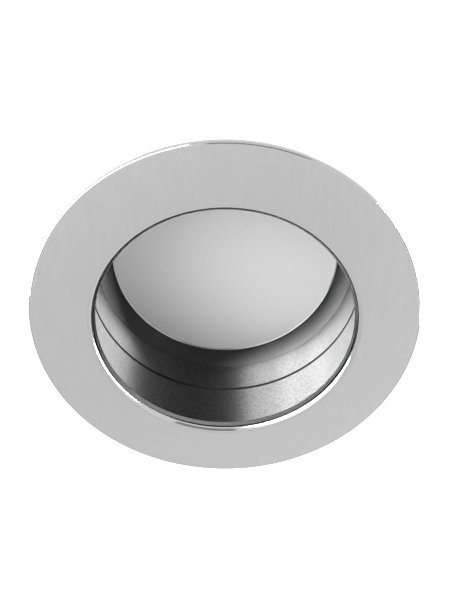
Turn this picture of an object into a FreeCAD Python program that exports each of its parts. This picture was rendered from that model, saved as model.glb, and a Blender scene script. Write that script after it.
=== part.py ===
import FreeCAD, Part
import os
import Sketcher

# Round flush pull for a pocket door, in satin stainless steel.
# It is made of two turned pieces. The face ring has the flange that covers the edge of the hole
# in the door, the rounded lip of the finger opening, and a thin sleeve that reaches inwards.
# The rear cup nests round the sleeve, closes the recess and gives it its floor. The recess is
# wider than the opening, so fingers hook behind the lip. The sleeve's end seats on the cup's
# shoulder, and the chamfers on both make a fine groove that runs round the wall of the recess.
# Frame: the axis is Y, the front looks along -Y and Z is up on the door. The origin is on the
# axis, in the plane where the flange lies on the door. Lengths are in millimetres.

SIZES = (
    ("door_hole_dia", 54.0, "hole that is bored in the door for the cup"),
    ("door_clearance", 0.2, "radial room between the cup and the hole"),
    ("flange_lap", 5.5, "width of door face that the flange covers round the hole"),
    ("flange_thick", 1.0, "how far the flange stands out from the door"),
    ("rim_round", 0.3, "rounding of the flange's front outer edge"),
    ("rim_break", 0.15, "chamfer of the flange's back outer edge"),
    ("relief_reach", 0.5, "how far the relief groove in the flange's back reaches past the cup"),
    ("relief_depth", 0.3, "depth of that groove, which keeps the cup's mouth off the flange"),
    ("mouth_wall", 0.65, "wall of the cup round the sleeve"),
    ("sleeve_clearance", 0.05, "radial gap between the sleeve and the cup"),
    ("sleeve_wall", 0.6, "wall of the sleeve"),
    ("lip_reach", 3.6, "how far the lip reaches in over the recess"),
    ("lip_thick", 2.0, "thickness of the ring at the lip"),
    ("lip_round", 1.0, "rounding of the lip's front edge"),
    ("lip_break", 0.15, "chamfer of the lip's rear edge"),
    ("sleeve_reach", 13.7, "length of the sleeve's inner wall"),
    ("seam_break", 0.15, "chamfer on each side of the joint at the sleeve's end"),
    ("well_depth", 10.3, "depth of the cup from its shoulder to its floor"),
    ("floor_cone", 2.8, "size of the 45 degree cone between the wall and the floor"),
    ("floor_thick", 1.0, "thickness of the floor"),
    ("base_break", 2.2, "chamfer of the cup's rear outer edge, which leads it into the hole"),
)

# Radii, from the hole in the door inwards.
FLANGE_R = "sizes.door_hole_dia / 2 + sizes.flange_lap"
CUP_R = "sizes.door_hole_dia / 2 - sizes.door_clearance"
RELIEF_R = CUP_R + " + sizes.relief_reach"
REBATE_R = CUP_R + " - sizes.mouth_wall"
SLEEVE_R = REBATE_R + " - sizes.sleeve_clearance"
RECESS_R = SLEEVE_R + " - sizes.sleeve_wall"
OPENING_R = RECESS_R + " - sizes.lip_reach"

# Places along the axis, from the front face inwards.
ON_AXIS = "0"
DOOR_FACE = "0"
RELIEF_FLOOR = "-sizes.relief_depth"
FRONT_FACE = "-sizes.flange_thick"
LIP_BACK = FRONT_FACE + " + sizes.lip_thick"
SLEEVE_END = LIP_BACK + " + sizes.sleeve_reach"
FLOOR = SLEEVE_END + " + sizes.well_depth"
CUP_BACK = FLOOR + " + sizes.floor_thick"

# Two lengths that differ by less than this are the same.
SAME = 1e-5


def make_sheet(doc):
    """The driving dimensions, one row each: name, value and meaning."""
    sheet = doc.addObject("Spreadsheet::Sheet", "sizes")
    for row, (name, value, meaning) in enumerate(SIZES, start=1):
        sheet.set(f"A{row}", name)
        sheet.set(f"B{row}", str(value))
        sheet.set(f"C{row}", meaning)
        sheet.setAlias(f"B{row}", name)
    doc.recompute()
    return sheet


def value_of(doc, expression):
    """The present value of an expression over the sheet."""
    return float(doc.getObject("sizes").evalExpression(expression))


def origin_plane(body, role):
    """The plane of the body's own origin that has this role."""
    return next(plane for plane in body.Origin.OriginFeatures if plane.Role == role)


def tie(sketch, direction, line, expression):
    """Tie the start of a line to its distance from the origin, one way."""
    if expression == "0":
        axis = -2 if direction == "DistanceX" else -1
        sketch.addConstraint(Sketcher.Constraint("PointOnObject", line, 1, axis))
        return
    distance = value_of(sketch.Document, expression)
    index = sketch.addConstraint(Sketcher.Constraint(direction, -1, 1, line, 1, distance))
    name = f"{direction[-1].lower()}_of_corner_{line}"
    sketch.renameConstraint(index, name)
    sketch.setExpression(f"Constraints.{name}", expression)


def turn_body(doc, name, outline):
    """A body turned about Y from a closed outline of (radius, place along Y) corners."""
    body = doc.addObject("PartDesign::Body", name)
    body.Label = name
    sketch = body.newObject("Sketcher::SketchObject", f"{name}_outline")
    sketch.AttachmentSupport = [(origin_plane(body, "XY_Plane"), "")]
    sketch.MapMode = "FlatFace"
    corners = [FreeCAD.Vector(value_of(doc, radius), value_of(doc, place), 0) for radius, place in outline]
    ends = zip(corners, corners[1:] + corners[:1])
    sketch.addGeometry([Part.LineSegment(start, end) for start, end in ends], False)
    for line, (radius, place) in enumerate(outline):
        following = (line + 1) % len(outline)
        sketch.addConstraint(Sketcher.Constraint("Coincident", line, 2, following, 1))
        tie(sketch, "DistanceX", line, radius)
        tie(sketch, "DistanceY", line, place)
    turning = body.newObject("PartDesign::Revolution", f"{name}_turning")
    turning.Profile = sketch
    turning.ReferenceAxis = (sketch, ["V_Axis"])
    turning.Angle = 360
    doc.recompute()
    return body


def circle_at(shape, radius, place):
    """The name of the circular edge of this radius in the plane at this place along Y."""
    for number, edge in enumerate(shape.Edges, start=1):
        if not isinstance(edge.Curve, Part.Circle):
            continue
        if abs(edge.Curve.Radius - radius) < SAME and abs(edge.Curve.Center.y - place) < SAME:
            return f"Edge{number}"
    raise RuntimeError(f"no circular edge of radius {radius} at {place}")


def finish_edge(body, kind, name, size, corner):
    """Round (Fillet) or break (Chamfer) the edge that one corner of the outline was turned into."""
    doc = body.Document
    base = body.Tip
    radius, place = (value_of(doc, expression) for expression in corner)
    edge = circle_at(base.Shape, radius, place)
    feature = body.newObject(f"PartDesign::{kind}", name)
    feature.Base = (base, [edge])
    feature.setExpression("Radius" if kind == "Fillet" else "Size", size)
    doc.recompute()


def make_face_ring(doc):
    """The flange, the lip round the opening and the sleeve, turned in one piece."""
    ring = turn_body(doc, "face_ring", (
        (OPENING_R, FRONT_FACE),
        (FLANGE_R, FRONT_FACE),
        (FLANGE_R, DOOR_FACE),
        (RELIEF_R, DOOR_FACE),
        (RELIEF_R, RELIEF_FLOOR),
        (SLEEVE_R, RELIEF_FLOOR),
        (SLEEVE_R, SLEEVE_END),
        (RECESS_R, SLEEVE_END),
        (RECESS_R, LIP_BACK),
        (OPENING_R, LIP_BACK),
    ))
    finish_edge(ring, "Fillet", "lip_rounding", "sizes.lip_round", (OPENING_R, FRONT_FACE))
    finish_edge(ring, "Fillet", "rim_rounding", "sizes.rim_round", (FLANGE_R, FRONT_FACE))
    finish_edge(ring, "Chamfer", "rim_back_edge", "sizes.rim_break", (FLANGE_R, DOOR_FACE))
    finish_edge(ring, "Chamfer", "lip_back_edge", "sizes.lip_break", (OPENING_R, LIP_BACK))
    finish_edge(ring, "Chamfer", "sleeve_end_edge", "sizes.seam_break", (RECESS_R, SLEEVE_END))
    return ring


def make_rear_cup(doc):
    """The cup, with a rebate that takes the sleeve and a shoulder that its end seats on."""
    cup = turn_body(doc, "rear_cup", (
        (ON_AXIS, FLOOR),
        (RECESS_R, FLOOR),
        (RECESS_R, SLEEVE_END),
        (REBATE_R, SLEEVE_END),
        (REBATE_R, DOOR_FACE),
        (CUP_R, DOOR_FACE),
        (CUP_R, CUP_BACK),
        (ON_AXIS, CUP_BACK),
    ))
    finish_edge(cup, "Chamfer", "floor_corner", "sizes.floor_cone", (RECESS_R, FLOOR))
    finish_edge(cup, "Chamfer", "base_edge", "sizes.base_break", (CUP_R, CUP_BACK))
    finish_edge(cup, "Chamfer", "shoulder_edge", "sizes.seam_break", (RECESS_R, SLEEVE_END))
    return cup


def check(doc, pieces):
    """Stop if any object failed, or if a piece has no sound solid."""
    for item in doc.Objects:
        if "Invalid" in item.State or "Error" in item.State:
            raise RuntimeError(f"{item.Name} failed: {item.State}")
    for piece in pieces:
        if piece.Shape.isNull() or not piece.Shape.isValid() or len(piece.Shape.Solids) != 1:
            raise RuntimeError(f"{piece.Label} has no sound solid")


def main():
    """Build the pull and write each of its pieces to a file of its own."""
    doc = FreeCAD.newDocument("flush_pull")
    make_sheet(doc)
    pieces = [make_face_ring(doc), make_rear_cup(doc)]
    doc.recompute()
    check(doc, pieces)
    os.makedirs("parts", exist_ok=True)
    for piece in pieces:
        piece.Shape.exportStep(f"parts/{piece.Label}.step")
        print(f"{piece.Label}: {piece.Shape.Volume:.1f} cubic mm, {len(piece.Shape.Faces)} faces")


main()
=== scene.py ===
import math

import bmesh
import bpy
from mathutils import Matrix, Vector


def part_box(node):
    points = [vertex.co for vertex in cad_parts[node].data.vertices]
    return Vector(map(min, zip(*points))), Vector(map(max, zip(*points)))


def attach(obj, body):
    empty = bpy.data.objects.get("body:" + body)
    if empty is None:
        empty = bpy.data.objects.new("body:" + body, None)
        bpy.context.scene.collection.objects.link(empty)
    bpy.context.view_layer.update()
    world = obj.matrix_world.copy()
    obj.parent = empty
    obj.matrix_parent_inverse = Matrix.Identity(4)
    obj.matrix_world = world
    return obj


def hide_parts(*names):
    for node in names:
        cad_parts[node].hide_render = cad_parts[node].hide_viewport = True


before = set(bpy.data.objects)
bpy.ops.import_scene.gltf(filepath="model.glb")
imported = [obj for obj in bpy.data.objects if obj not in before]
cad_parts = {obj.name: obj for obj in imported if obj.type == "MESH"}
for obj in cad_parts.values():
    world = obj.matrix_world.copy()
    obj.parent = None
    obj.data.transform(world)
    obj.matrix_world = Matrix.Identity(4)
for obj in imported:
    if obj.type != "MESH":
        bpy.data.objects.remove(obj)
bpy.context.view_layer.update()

bl_info = {
    "name": "Round Flush Pull",
    "version": (1, 0, 0),
    "blender": (4, 5, 0),
    "location": "3D View > Sidebar > Flush Pull",
    "description": "Builds a round flush pull for a pocket door, its satin steel and its studio",
    "category": "Object",
}

RING_LOW, RING_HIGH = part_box("face_ring")
CUP_LOW, CUP_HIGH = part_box("rear_cup")

MM = 0.001
MICRON = 0.000001

# How finely the pieces are turned, and the angle from which one of their edges looks sharp.
TURN_STEPS = 288
SHARP_ANGLE = math.radians(32)
MERGE_DISTANCE = 1e-7

# Small edges: a fine break, and the roundings where the wall meets the back of the lip, where it
# meets the cone (the cup's mouth has the same), and where the cone meets the floor.
FINE_BREAK = 0.05 * MM
WALL_CORNER = 0.2 * MM
CONE_HEAD = 0.1 * MM
CONE_FOOT = 0.15 * MM

# A face whose middle is nearer to a flat or a wall than this lies on it.
ON_FLAT = 0.002 * MM

# Turns the stretched highlights of a turned surface so that they cross the lathe's lines.
ACROSS_THE_TURNING = 0.25

# The stage: half the floor's width and the lit panel's outer radius in metres, the panel's gap
# round the flange, how dull the stage's sheets are, and the camera's sensor in millimetres.
FLOOR_HALF_WIDTH = 4.0
PANEL_RADIUS = 1.2
PANEL_GAP = 0.05 * MM
MATT = 0.9
SENSOR_WIDTH = 36.0

# Lights that face the pull: name, degrees away from straight ahead, degrees round from straight
# up, distance, width and height in metres, and brightness. The narrow strips light the wall of
# the recess down to the cone and miss the floor, and the wide softbox shows in the lip.
SOFTBOXES = (
    ("upper_left_strip", 63.5, -35, 0.5, 0.32, 0.045, 330.0),
    ("middle_left_strip", 63.5, -59, 0.5, 0.26, 0.045, 300.0),
    ("left_strip", 63.5, -88, 0.5, 0.40, 0.045, 370.0),
    ("right_strip", 63.5, 97, 0.5, 0.42, 0.045, 310.0),
    ("wide_left_softbox", 50, -72, 0.8, 0.80, 0.95, 2.0),
)

# Sheets that the steel mirrors and the camera doesn't see: name, corners in metres, and tone.
CARDS = (
    (
        "grey_card",
        ((-0.01, -0.2, 0.0), (0.05, -0.2, 0.0), (0.14, -0.2, 0.17),
         (0.26, -0.2, 0.32), (-0.04, -0.2, 0.32), (-0.024, -0.2, 0.14)),
        0.45,
    ),
    (
        "dark_table",
        ((-0.6, -0.14, -0.25), (0.6, -0.14, -0.25), (0.6, -0.01, -0.25), (-0.6, -0.01, -0.25)),
        0.0,
    ),
)


def length(name, description, millimetres):
    """A length that the user may change, kept in metres."""
    return bpy.props.FloatProperty(
        name=name, description=description, default=millimetres * MM,
        min=0.0, soft_max=2.0, precision=5, subtype="DISTANCE", unit="LENGTH",
    )


def share(name, description, default):
    """A share that the user may change, from 0 for none to 1 for all."""
    return bpy.props.FloatProperty(
        name=name, description=description, default=default, min=0.0, max=1.0, subtype="FACTOR",
    )


def colour(name, description, default):
    """A colour that the user may change."""
    return bpy.props.FloatVectorProperty(
        name=name, description=description, default=default, size=3, min=0.0, max=1.0,
        subtype="COLOR",
    )


def angle(name, description, degrees):
    """An angle that the user may change."""
    return bpy.props.FloatProperty(
        name=name, description=description, default=math.radians(degrees),
        subtype="ANGLE", unit="ROTATION",
    )


def amount(name, description, default):
    """A plain number that the user may change."""
    return bpy.props.FloatProperty(name=name, description=description, default=default, min=0.0)


class FlushPullSizes(bpy.types.PropertyGroup):
    """Sizes of the two turned pieces."""

    flange_radius: length("Flange Radius", "Radius of the flange", RING_HIGH.x / MM)
    flange_thick: length(
        "Flange Thickness", "How far the flange stands out from the door", -RING_LOW.y / MM,
    )
    rim_round: length("Rim Rounding", "Rounding of the flange's front outer edge", 0.3)
    rim_break: length("Rim Break", "Chamfer of the flange's back outer edge", 0.15)
    relief_reach: length("Relief Reach", "How far the relief groove reaches past the cup", 0.5)
    relief_depth: length("Relief Depth", "Depth of the relief groove in the flange's back", 0.3)
    mouth_wall: length("Mouth Wall", "Wall of the cup round the sleeve", 0.65)
    sleeve_clearance: length("Sleeve Clearance", "Radial gap between the sleeve and the cup", 0.05)
    sleeve_wall: length("Sleeve Wall", "Wall of the sleeve", 0.6)
    lip_reach: length("Lip Reach", "How far the lip reaches in over the recess", 3.6)
    lip_thick: length("Lip Thickness", "Thickness of the ring at the lip", 2.0)
    lip_round: length("Lip Rounding", "Rounding of the lip's front edge", 1.0)
    lip_break: length("Lip Break", "Chamfer of the lip's rear edge", 0.15)
    seam_break: length("Joint Break", "Chamfer on each side of the joint in the recess", 0.15)
    # The joint's painted shade line reaches this far onto the wall on each side, past the
    # chamfers.
    joint_shade_line: length("Joint Line", "Width of the dark line on each side of the joint", 0.36)
    floor_cone: length(
        "Floor Cone", "Size of the 45 degree cone between the wall and the floor", 2.8,
    )
    floor_thick: length("Floor Thickness", "Thickness of the floor", 1.0)
    base_break: length("Base Break", "Chamfer of the cup's rear outer edge", 2.2)


class FlushPullFinish(bpy.types.PropertyGroup):
    """Colours and dullness of the steel."""

    steel: colour("Steel", "Colour of the satin steel", (0.35, 0.35, 0.352))
    # Painted shade: the recess's wall gets a near-black copy of the steel, so that the recess
    # looks dark.
    wall_steel_painted_shade: colour(
        "Wall Steel", "Colour of the turned wall of the recess", (0.058, 0.058, 0.058),
    )
    # Painted shade: the cone gets a near-black copy of the steel, for the dark band round the
    # floor.
    cone_steel_painted_shade: colour(
        "Cone Steel", "Colour of the cone between the wall and the floor", (0.03, 0.03, 0.03),
    )
    # Painted light: the floor deep in the recess gets a far lighter copy of the steel than the
    # flange, so that it looks as lit as the flange.
    floor_steel_painted_light: colour(
        "Floor Steel", "Colour of the blasted floor of the recess", (0.9, 0.9, 0.9),
    )
    # Painted shade: the line at the joint is near black, for the shadow in the joint's gap.
    joint_steel_painted_shade: colour(
        "Joint Steel", "Colour of the dark line at the joint", (0.014, 0.014, 0.014),
    )
    face_roughness: share("Face Roughness", "How dull the flange is", 0.22)
    edge_roughness: share("Edge Roughness", "How dull the rounded lip and rim are", 0.07)
    wall_roughness: share("Wall Roughness", "How dull the wall of the recess is", 0.5)
    wall_turning: share(
        "Wall Turning", "How much the wall's turned lines stretch its highlights", 1.0,
    )
    cone_roughness: share("Cone Roughness", "How dull the cone at the floor is", 0.5)
    floor_roughness: share("Floor Roughness", "How dull the floor of the recess is", 0.97)
    joint_roughness: share("Joint Roughness", "How dull the dark line at the joint is", 0.8)
    back_roughness: share("Back Roughness", "How dull the turned outside is", 0.34)


class FlushPullStudio(bpy.types.PropertyGroup):
    """Camera, lights and floor."""

    camera_height: angle("Camera Height", "Angle of the camera above the pull's axis", 35.0)
    camera_distance: length(
        "Camera Distance", "From the camera to the middle of the flange", 105.3,
    )
    camera_rise: length("Aim Height", "How far above the axis the camera aims", 6.4)
    half_width: amount(
        "Flange Half Width", "Half the flange's width, as a share of the picture's height", 0.3235,
    )
    sky: amount("Surroundings", "Brightness of the white surroundings", 1.64)
    floor_colour: colour("Floor", "Colour of the pale floor", (0.8, 0.8, 0.8))
    floor_drop: length("Floor Drop", "How far the floor lies below the pull's axis", 1200.0)
    panel_light: amount("Panel Light", "Brightness of the lit panel round the flange", 1.4)


def radii(s):
    """The radii of the pull by name, worked out from its sizes."""
    cup = CUP_HIGH.x
    rebate = cup - s.mouth_wall
    sleeve = rebate - s.sleeve_clearance
    recess = sleeve - s.sleeve_wall
    return {
        "flange": s.flange_radius,
        "relief": cup + s.relief_reach,
        "cup": cup,
        "rebate": rebate,
        "sleeve": sleeve,
        "recess": recess,
        "opening": recess - s.lip_reach,
    }


def turned_piece(name, corners, steels, zones):
    """A piece turned about Y from a closed outline.

    Each corner is (radius, place along Y, size of its rounding, segments of it). The steels are
    the piece's finishes by name. Each zone is (name of its steel, least radius, most radius,
    first place, last place), and a later zone wins.
    """
    bm = bmesh.new()
    points = [bm.verts.new((radius, place, 0.0)) for radius, place, _, _ in corners]
    bm.faces.new(points)
    for point, (_, _, size, segments) in zip(points, corners):
        if size > 0:
            bmesh.ops.bevel(
                bm, geom=[point], offset=size, offset_type="OFFSET", segments=segments,
                profile=0.5, affect="VERTICES", material=-1,
            )
    bmesh.ops.delete(bm, geom=bm.faces[:], context="FACES_ONLY")
    on_axis = [
        edge for edge in bm.edges if all(abs(end.co.x) < MERGE_DISTANCE for end in edge.verts)
    ]
    if on_axis:
        bmesh.ops.delete(bm, geom=on_axis, context="EDGES")
    bmesh.ops.spin(
        bm, geom=bm.verts[:] + bm.edges[:], cent=(0, 0, 0), axis=(0, 1, 0), dvec=(0, 0, 0),
        angle=2 * math.pi, steps=TURN_STEPS, use_merge=True, use_normal_flip=False,
        use_duplicate=False,
    )
    bmesh.ops.remove_doubles(bm, verts=bm.verts[:], dist=MERGE_DISTANCE)
    bmesh.ops.recalc_face_normals(bm, faces=bm.faces[:])
    if not all(edge.is_manifold for edge in bm.edges):
        raise RuntimeError(f"{name} isn't closed once its outline is turned")
    numbers = {finish: number for number, finish in enumerate(steels)}
    for face in bm.faces:
        face.smooth = True
        centre = face.calc_center_median()
        radius = math.hypot(centre.x, centre.z)
        for finish, low, high, first, last in zones:
            if low <= radius <= high and first <= centre.y <= last:
                face.material_index = numbers[finish]
    mesh = bpy.data.meshes.new(name)
    bm.to_mesh(mesh)
    bm.free()
    mesh.set_sharp_from_angle(angle=SHARP_ANGLE)
    for finish in steels.values():
        mesh.materials.append(finish)
    piece = bpy.data.objects.new(name, mesh)
    bpy.context.scene.collection.objects.link(piece)
    shading = piece.modifiers.new("even_flats", "WEIGHTED_NORMAL")
    shading.keep_sharp = True
    return piece


def add_node(tree, kind, inputs=None, **settings):
    """A node with its settings and inputs, each input a value or a socket to link from."""
    node = tree.nodes.new(kind)
    for key, value in settings.items():
        setattr(node, key, value)
    for key, value in (inputs or {}).items():
        if isinstance(value, bpy.types.NodeSocket):
            tree.links.new(value, node.inputs[key])
        else:
            node.inputs[key].default_value = value
    return node


def new_group(name, inputs, outputs):
    """A shader node group with named sockets, its inputs node and its outputs node."""
    group = bpy.data.node_groups.new(name, "ShaderNodeTree")
    for socket, kind, default in inputs:
        made = group.interface.new_socket(name=socket, in_out="INPUT", socket_type=kind)
        if default is not None:
            made.default_value = default
    for socket, kind in outputs:
        group.interface.new_socket(name=socket, in_out="OUTPUT", socket_type=kind)
    return group, group.nodes.new("NodeGroupInput"), group.nodes.new("NodeGroupOutput")


def straight_grain():
    """Short straight scratches that run up and down the flange."""
    name = "Straight Grain"
    if name in bpy.data.node_groups:
        return bpy.data.node_groups[name]
    group, given, made = new_group(
        name,
        [("Vector", "NodeSocketVector", None), ("Width", "NodeSocketFloat", 0.22 * MM),
         ("Length", "NodeSocketFloat", 4 * MM)],
        [("Grain", "NodeSocketFloat")],
    )
    across = add_node(
        group, "ShaderNodeMath", {0: 1.0, 1: given.outputs["Width"]}, operation="DIVIDE",
    )
    along = add_node(
        group, "ShaderNodeMath", {0: 1.0, 1: given.outputs["Length"]}, operation="DIVIDE",
    )
    scale = add_node(
        group, "ShaderNodeCombineXYZ",
        {0: across.outputs[0], 1: across.outputs[0], 2: along.outputs[0]},
    )
    stretched = add_node(
        group, "ShaderNodeVectorMath", {0: given.outputs["Vector"], 1: scale.outputs[0]},
        operation="MULTIPLY",
    )
    noise = add_node(
        group, "ShaderNodeTexNoise",
        {"Vector": stretched.outputs[0], "Scale": 1.0, "Detail": 3.0, "Roughness": 0.6},
    )
    group.links.new(noise.outputs[0], made.inputs["Grain"])
    return group


def blasted_grain():
    """Fine even mottling, as fine bead blasting leaves."""
    name = "Blasted Grain"
    if name in bpy.data.node_groups:
        return bpy.data.node_groups[name]
    group, given, made = new_group(
        name,
        [("Vector", "NodeSocketVector", None), ("Size", "NodeSocketFloat", 0.5 * MM)],
        [("Grain", "NodeSocketFloat")],
    )
    scale = add_node(
        group, "ShaderNodeMath", {0: 1.0, 1: given.outputs["Size"]}, operation="DIVIDE",
    )
    noise = add_node(
        group, "ShaderNodeTexNoise",
        {"Vector": given.outputs["Vector"], "Scale": scale.outputs[0], "Detail": 2.0,
         "Roughness": 0.55},
    )
    group.links.new(noise.outputs[0], made.inputs["Grain"])
    return group


def turned_grain():
    """Fine rings that a lathe tool leaves round the axis."""
    name = "Turned Grain"
    if name in bpy.data.node_groups:
        return bpy.data.node_groups[name]
    group, given, made = new_group(
        name,
        [("Vector", "NodeSocketVector", None), ("Pitch", "NodeSocketFloat", 0.25 * MM)],
        [("Grain", "NodeSocketFloat")],
    )
    parts = add_node(group, "ShaderNodeSeparateXYZ", {0: given.outputs["Vector"]})
    flat = add_node(group, "ShaderNodeCombineXYZ", {0: parts.outputs[0], 1: parts.outputs[2]})
    radius = add_node(group, "ShaderNodeVectorMath", {0: flat.outputs[0]}, operation="LENGTH")
    place = add_node(
        group, "ShaderNodeCombineXYZ", {0: radius.outputs["Value"], 1: parts.outputs[1]},
    )
    scale = add_node(
        group, "ShaderNodeMath", {0: 1.0, 1: given.outputs["Pitch"]}, operation="DIVIDE",
    )
    noise = add_node(
        group, "ShaderNodeTexNoise",
        {"Vector": place.outputs[0], "Scale": scale.outputs[0], "Detail": 2.0, "Roughness": 0.5},
        noise_dimensions="2D",
    )
    group.links.new(noise.outputs[0], made.inputs["Grain"])
    return group


def satin_spread():
    """Turns a grain into a tint of the steel and a dullness, each a little round its middle."""
    name = "Satin Spread"
    if name in bpy.data.node_groups:
        return bpy.data.node_groups[name]
    group, given, made = new_group(
        name,
        [("Grain", "NodeSocketFloat", 0.5), ("Colour", "NodeSocketColor", (0.6, 0.6, 0.6, 1.0)),
         ("Tint", "NodeSocketFloat", 0.05), ("Roughness", "NodeSocketFloat", 0.3),
         ("Roughness Change", "NodeSocketFloat", 0.1)],
        [("Colour", "NodeSocketColor"), ("Roughness", "NodeSocketFloat")],
    )
    centred = add_node(
        group, "ShaderNodeMath", {0: given.outputs["Grain"], 1: 0.5}, operation="SUBTRACT",
    )
    tint = add_node(
        group, "ShaderNodeMath", {0: centred.outputs[0], 1: given.outputs["Tint"], 2: 1.0},
        operation="MULTIPLY_ADD",
    )
    tinted = add_node(
        group, "ShaderNodeVectorMath", {0: given.outputs["Colour"], "Scale": tint.outputs[0]},
        operation="SCALE",
    )
    rough = add_node(
        group, "ShaderNodeMath",
        {0: centred.outputs[0], 1: given.outputs["Roughness Change"],
         2: given.outputs["Roughness"]},
        operation="MULTIPLY_ADD",
    )
    group.links.new(tinted.outputs[0], made.inputs["Colour"])
    group.links.new(rough.outputs[0], made.inputs["Roughness"])
    return group


def steel(name, base, roughness, grain_group, tint, change, bump, turning=0.0):
    """A steel whose tint, dullness and surface follow one grain.

    The tint and the change say how far the colour and the roughness vary, the bump how high the
    grain stands, and the turning how much the highlights are stretched.
    """
    material = bpy.data.materials.get(name)
    if material:
        return material
    material = bpy.data.materials.new(name)
    material.use_nodes = True
    tree = material.node_tree
    tree.nodes.clear()
    place = add_node(tree, "ShaderNodeTexCoord")
    grain = add_node(
        tree, "ShaderNodeGroup", {"Vector": place.outputs["Object"]}, node_tree=grain_group,
    )
    tone = add_node(
        tree, "ShaderNodeGroup",
        {"Grain": grain.outputs["Grain"], "Colour": (*base, 1.0), "Tint": tint,
         "Roughness": roughness, "Roughness Change": change},
        node_tree=satin_spread(),
    )
    relief = add_node(
        tree, "ShaderNodeBump",
        {"Strength": 1.0, "Distance": bump, "Height": grain.outputs["Grain"]},
    )
    shader = add_node(
        tree, "ShaderNodeBsdfPrincipled",
        {"Base Color": tone.outputs["Colour"], "Metallic": 1.0,
         "Roughness": tone.outputs["Roughness"], "Normal": relief.outputs["Normal"]},
    )
    if turning:
        round_axis = add_node(tree, "ShaderNodeTangent", direction_type="RADIAL", axis="Y")
        tree.links.new(round_axis.outputs["Tangent"], shader.inputs["Tangent"])
        shader.inputs["Anisotropic"].default_value = turning
        shader.inputs["Anisotropic Rotation"].default_value = ACROSS_THE_TURNING
    output = add_node(tree, "ShaderNodeOutputMaterial")
    tree.links.new(shader.outputs[0], output.inputs[0])
    return material


def finishes(context, names):
    """The steels with these names, each made once."""
    f = context.scene.flush_pull_finish
    steels = {
        "face": steel(
            "satin_face_steel", f.steel, f.face_roughness, straight_grain(),
            tint=0.12, change=0.05, bump=4 * MICRON,
        ),
        "edge": steel(
            "satin_edge_steel", f.steel, f.edge_roughness, turned_grain(),
            tint=0.02, change=0.02, bump=0.5 * MICRON,
        ),
        # Painted shade: the wall's steel is near black, so that the recess looks dark.
        "wall": steel(
            "satin_wall_painted_shade", f.wall_steel_painted_shade, f.wall_roughness, blasted_grain(),
            tint=1.3, change=0.2, bump=10 * MICRON, turning=f.wall_turning,
        ),
        # Painted shade: the cone's steel is near black, for the dark band round the floor.
        "cone": steel(
            "satin_cone_painted_shade", f.cone_steel_painted_shade, f.cone_roughness, blasted_grain(),
            tint=0.5, change=0.2, bump=10 * MICRON,
        ),
        # Painted light: the floor's steel is made far lighter than the flange's, so that the deep
        # floor looks lit.
        "floor": steel(
            "satin_floor_painted_light", f.floor_steel_painted_light, f.floor_roughness, blasted_grain(),
            tint=0.06, change=0.06, bump=2 * MICRON,
        ),
        # Painted shade: the joint's steel is near black, for the shadow in the joint's gap.
        "joint": steel(
            "joint_painted_shade_steel", f.joint_steel_painted_shade, f.joint_roughness, turned_grain(),
            tint=0.02, change=0.02, bump=0.5 * MICRON,
        ),
        "back": steel(
            "turned_back_steel", f.steel, f.back_roughness, turned_grain(),
            tint=0.08, change=0.08, bump=2 * MICRON,
        ),
    }
    return {name: steels[name] for name in names}


class FLUSHPULL_OT_face_ring(bpy.types.Operator):
    """Turn the face ring: the flange, the rounded lip of the finger opening and the sleeve"""

    bl_idname = "flushpull.face_ring"
    bl_label = "Make Face Ring"

    def execute(self, context):
        s = context.scene.flush_pull_sizes
        r = radii(s)
        front = -s.flange_thick
        lip_back = front + s.lip_thick
        end = RING_HIGH.y
        piece = turned_piece(
            "satin_face_ring",
            [
                (r["opening"], front, s.lip_round, 14),
                (r["flange"], front, s.rim_round, 8),
                (r["flange"], 0.0, s.rim_break, 1),
                (r["relief"], 0.0, FINE_BREAK, 1),
                (r["relief"], -s.relief_depth, FINE_BREAK, 2),
                (r["sleeve"], -s.relief_depth, 0.0, 1),
                (r["sleeve"], end, FINE_BREAK, 1),
                (r["recess"], end, s.seam_break, 1),
                # Where the painted shade line at the joint ends on the wall.
                (r["recess"], end - s.joint_shade_line, 0.0, 1),
                (r["recess"], lip_back, WALL_CORNER, 4),
                (r["opening"], lip_back, s.lip_break, 2),
            ],
            finishes(context, ("face", "edge", "wall", "back", "joint")),
            [
                ("back", 0.0, r["flange"] + MM, front - MM, end + MM),
                ("face", r["opening"], r["flange"], front - MM, front + ON_FLAT),
                ("edge", r["opening"] - MM, r["opening"] + s.lip_round, front - MM, lip_back),
                ("edge", r["flange"] - s.rim_round, r["flange"] + MM, front + ON_FLAT, 0.0),
                # The wall takes the near-black steel with painted shade.
                ("wall", r["recess"] - MM, r["recess"] + ON_FLAT, lip_back, end + MM),
                # The joint takes the near-black steel with painted shade.
                ("joint", r["recess"] - MM, r["sleeve"], end - s.joint_shade_line, end + MM),
            ],
        )
        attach(piece, "root")
        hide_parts("face_ring")
        return {"FINISHED"}


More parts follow.
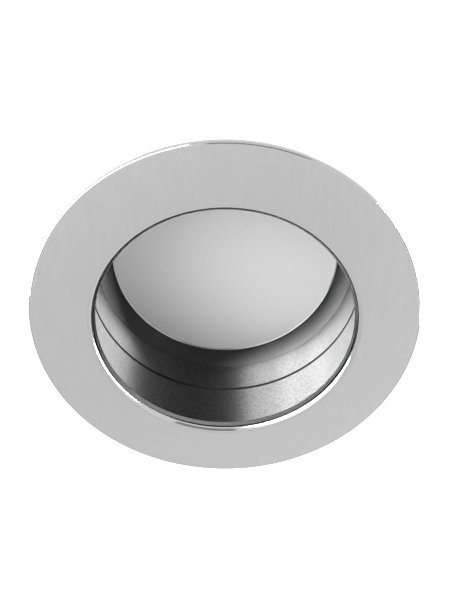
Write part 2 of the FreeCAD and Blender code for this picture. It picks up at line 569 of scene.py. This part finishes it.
class FLUSHPULL_OT_rear_cup(bpy.types.Operator):
    """Turn the rear cup: the rear wall of the recess, the cone, the floor and the outside"""

    bl_idname = "flushpull.rear_cup"
    bl_label = "Make Rear Cup"

    def execute(self, context):
        s = context.scene.flush_pull_sizes
        r = radii(s)
        mouth = CUP_LOW.y
        shoulder = RING_HIGH.y
        back = CUP_HIGH.y
        floor = back - s.floor_thick
        floor_edge = r["recess"] - s.floor_cone
        piece = turned_piece(
            "satin_rear_cup",
            [
                (0.0, floor, 0.0, 1),
                (floor_edge, floor, CONE_FOOT, 4),
                (r["recess"], floor - s.floor_cone, CONE_HEAD, 2),
                # Where the painted shade line at the joint ends on the wall.
                (r["recess"], shoulder + s.joint_shade_line, 0.0, 1),
                (r["recess"], shoulder, s.seam_break, 1),
                (r["rebate"], shoulder, 0.0, 1),
                (r["rebate"], mouth, FINE_BREAK, 1),
                (r["cup"], mouth, CONE_HEAD, 2),
                (r["cup"], back, s.base_break, 1),
                (0.0, back, 0.0, 1),
            ],
            finishes(context, ("wall", "floor", "back", "joint", "cone", "edge")),
            [
                ("back", 0.0, r["cup"] + MM, mouth - MM, back + MM),
                # The wall takes the near-black steel with painted shade.
                ("wall", 0.0, r["recess"] + ON_FLAT, shoulder, floor),
                # The floor takes the light steel with painted light.
                ("floor", 0.0, floor_edge, floor - ON_FLAT, floor + ON_FLAT),
                # The joint takes the near-black steel with painted shade.
                ("joint", r["recess"] - MM, r["rebate"], shoulder - MM, shoulder + s.joint_shade_line),
                # The cone takes the near-black steel with painted shade.
                ("cone", 0.0, r["recess"] + ON_FLAT, floor - s.floor_cone, floor - ON_FLAT),
                ("edge", 0.0, floor_edge + CONE_FOOT, floor - CONE_FOOT, floor - ON_FLAT),
            ],
        )
        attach(piece, "root")
        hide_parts("rear_cup")
        return {"FINISHED"}


def softbox(name, polar, turn, distance, width, height, brightness):
    """A light that faces the pull and that the camera doesn't see.

    Its angles are in degrees: polar away from straight ahead, and turn round from straight up.
    """
    polar = math.radians(polar)
    turn = math.radians(turn)
    data = bpy.data.lights.new(name, "AREA")
    data.shape = "RECTANGLE"
    data.size = width
    data.size_y = height
    data.energy = brightness * math.pi * width * height
    light = bpy.data.objects.new(name, data)
    light.location = distance * Vector((
        math.sin(polar) * math.sin(turn), -math.cos(polar), math.sin(polar) * math.cos(turn),
    ))
    light.rotation_euler = (math.radians(90) - polar, turn, 0.0)
    light.visible_camera = False
    bpy.context.scene.collection.objects.link(light)


def matt_material(name, tone):
    """A matt material of one tone for the stage."""
    material = bpy.data.materials.new(name)
    material.use_nodes = True
    shader = material.node_tree.nodes["Principled BSDF"]
    shader.inputs["Base Color"].default_value = (*tone, 1.0)
    shader.inputs["Roughness"].default_value = MATT
    shader.inputs["Specular IOR Level"].default_value = 0.0
    return material


def staged(name, bm, material):
    """A stage object from a finished bmesh."""
    mesh = bpy.data.meshes.new(name)
    bm.to_mesh(mesh)
    bm.free()
    mesh.materials.append(material)
    piece = bpy.data.objects.new(name, mesh)
    bpy.context.scene.collection.objects.link(piece)
    return piece


def pale_floor(t):
    """The pale floor, far below the pull."""
    bm = bmesh.new()
    bmesh.ops.create_grid(bm, x_segments=1, y_segments=1, size=FLOOR_HALF_WIDTH)
    bmesh.ops.translate(bm, vec=(0.0, 0.0, -t.floor_drop), verts=bm.verts[:])
    staged("pale_floor", bm, matt_material("pale_paper", t.floor_colour))


def lit_panel(t):
    """A lit white panel round the pull, which the camera sees through from behind."""
    bm = bmesh.new()
    for radius in (RING_HIGH.x + PANEL_GAP, PANEL_RADIUS):
        bmesh.ops.create_circle(bm, cap_ends=False, segments=TURN_STEPS, radius=radius)
    bmesh.ops.bridge_loops(bm, edges=bm.edges[:])
    upright = Matrix.Rotation(math.radians(90), 3, "X")
    bmesh.ops.rotate(bm, cent=(0, 0, 0), matrix=upright, verts=bm.verts[:])
    bmesh.ops.recalc_face_normals(bm, faces=bm.faces[:])
    lit_side_is_behind = bm.faces[:][0].normal.y > 0
    if lit_side_is_behind:
        bmesh.ops.reverse_faces(bm, faces=bm.faces[:])
    material = matt_material("lit_acrylic", (0.0, 0.0, 0.0))
    tree = material.node_tree
    shader = tree.nodes["Principled BSDF"]
    shader.inputs["Emission Color"].default_value = (1.0, 1.0, 1.0, 1.0)
    shader.inputs["Emission Strength"].default_value = t.panel_light
    side = add_node(tree, "ShaderNodeNewGeometry")
    ray = add_node(tree, "ShaderNodeLightPath")
    seen_from_behind = add_node(
        tree, "ShaderNodeMath",
        {0: side.outputs["Backfacing"], 1: ray.outputs["Is Camera Ray"]}, operation="MULTIPLY",
    )
    clear = add_node(tree, "ShaderNodeBsdfTransparent")
    mix = add_node(
        tree, "ShaderNodeMixShader",
        {0: seen_from_behind.outputs[0], 1: shader.outputs[0], 2: clear.outputs[0]},
    )
    tree.links.new(mix.outputs[0], tree.nodes["Material Output"].inputs[0])
    staged("lit_panel", bm, material)


def mirrored_card(name, corners, tone):
    """A card that the steel mirrors and the camera doesn't see."""
    sheet = bmesh.new()
    sheet.faces.new([sheet.verts.new(corner) for corner in corners])
    card = staged(name, sheet, matt_material(name, (tone, tone, tone)))
    card.visible_camera = False


def white_surroundings(scene, brightness):
    """Even white light from all round."""
    world = bpy.data.worlds.new("white_surroundings")
    scene.world = world
    world.use_nodes = True
    background = world.node_tree.nodes["Background"]
    background.inputs["Color"].default_value = (1.0, 1.0, 1.0, 1.0)
    background.inputs["Strength"].default_value = brightness


def photo_camera(scene, t):
    """The camera, above the pull's axis and aimed a little over the middle of the flange."""
    flange_radius = scene.flush_pull_sizes.flange_radius
    direction = Vector((0.0, -math.cos(t.camera_height), math.sin(t.camera_height)))
    data = bpy.data.cameras.new("photo_camera")
    data.sensor_fit = "AUTO"
    data.sensor_width = SENSOR_WIDTH
    data.lens = SENSOR_WIDTH * t.half_width * t.camera_distance / flange_radius
    data.clip_start = 5 * MM
    camera = bpy.data.objects.new("photo_camera", data)
    middle = Vector((0.0, RING_LOW.y, 0.0))
    aim = Vector((0.0, RING_LOW.y, t.camera_rise))
    camera.location = middle + direction * t.camera_distance
    camera.rotation_euler = (camera.location - aim).to_track_quat("Z", "Y").to_euler()
    scene.collection.objects.link(camera)
    scene.camera = camera


class FLUSHPULL_OT_studio(bpy.types.Operator):
    """Set up the pale floor, the soft lights and the camera"""

    bl_idname = "flushpull.studio"
    bl_label = "Set Up Studio"

    def execute(self, context):
        scene = context.scene
        t = scene.flush_pull_studio
        white_surroundings(scene, t.sky)
        pale_floor(t)
        lit_panel(t)
        for row in SOFTBOXES:
            softbox(*row)
        for row in CARDS:
            mirrored_card(*row)
        photo_camera(scene, t)
        scene.view_settings.view_transform = "Standard"
        scene.view_settings.look = "None"
        return {"FINISHED"}


class FLUSHPULL_PT_panel(bpy.types.Panel):
    """The operators and the values that they use"""

    bl_idname = "FLUSHPULL_PT_panel"
    bl_label = "Flush Pull"
    bl_space_type = "VIEW_3D"
    bl_region_type = "UI"
    bl_category = "Flush Pull"

    def draw(self, context):
        layout = self.layout
        for operator in OPERATORS:
            layout.operator(operator.bl_idname)
        for name, group in GROUPS.items():
            box = layout.box()
            values = getattr(context.scene, name)
            for key in group.__annotations__:
                box.prop(values, key)


GROUPS = {
    "flush_pull_sizes": FlushPullSizes,
    "flush_pull_finish": FlushPullFinish,
    "flush_pull_studio": FlushPullStudio,
}
OPERATORS = (FLUSHPULL_OT_face_ring, FLUSHPULL_OT_rear_cup, FLUSHPULL_OT_studio)
CLASSES = (*GROUPS.values(), *OPERATORS, FLUSHPULL_PT_panel)


def register():
    """Add the classes and their values to Blender."""
    for cls in CLASSES:
        bpy.utils.register_class(cls)
    for name, group in GROUPS.items():
        setattr(bpy.types.Scene, name, bpy.props.PointerProperty(type=group))


def unregister():
    """Take the classes and their values out again."""
    for name in GROUPS:
        delattr(bpy.types.Scene, name)
    for cls in reversed(CLASSES):
        bpy.utils.unregister_class(cls)


def main():
    """Register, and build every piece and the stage."""
    register()
    bpy.ops.flushpull.face_ring()
    bpy.ops.flushpull.rear_cup()
    bpy.ops.flushpull.studio()


if __name__ == "__main__":
    main()
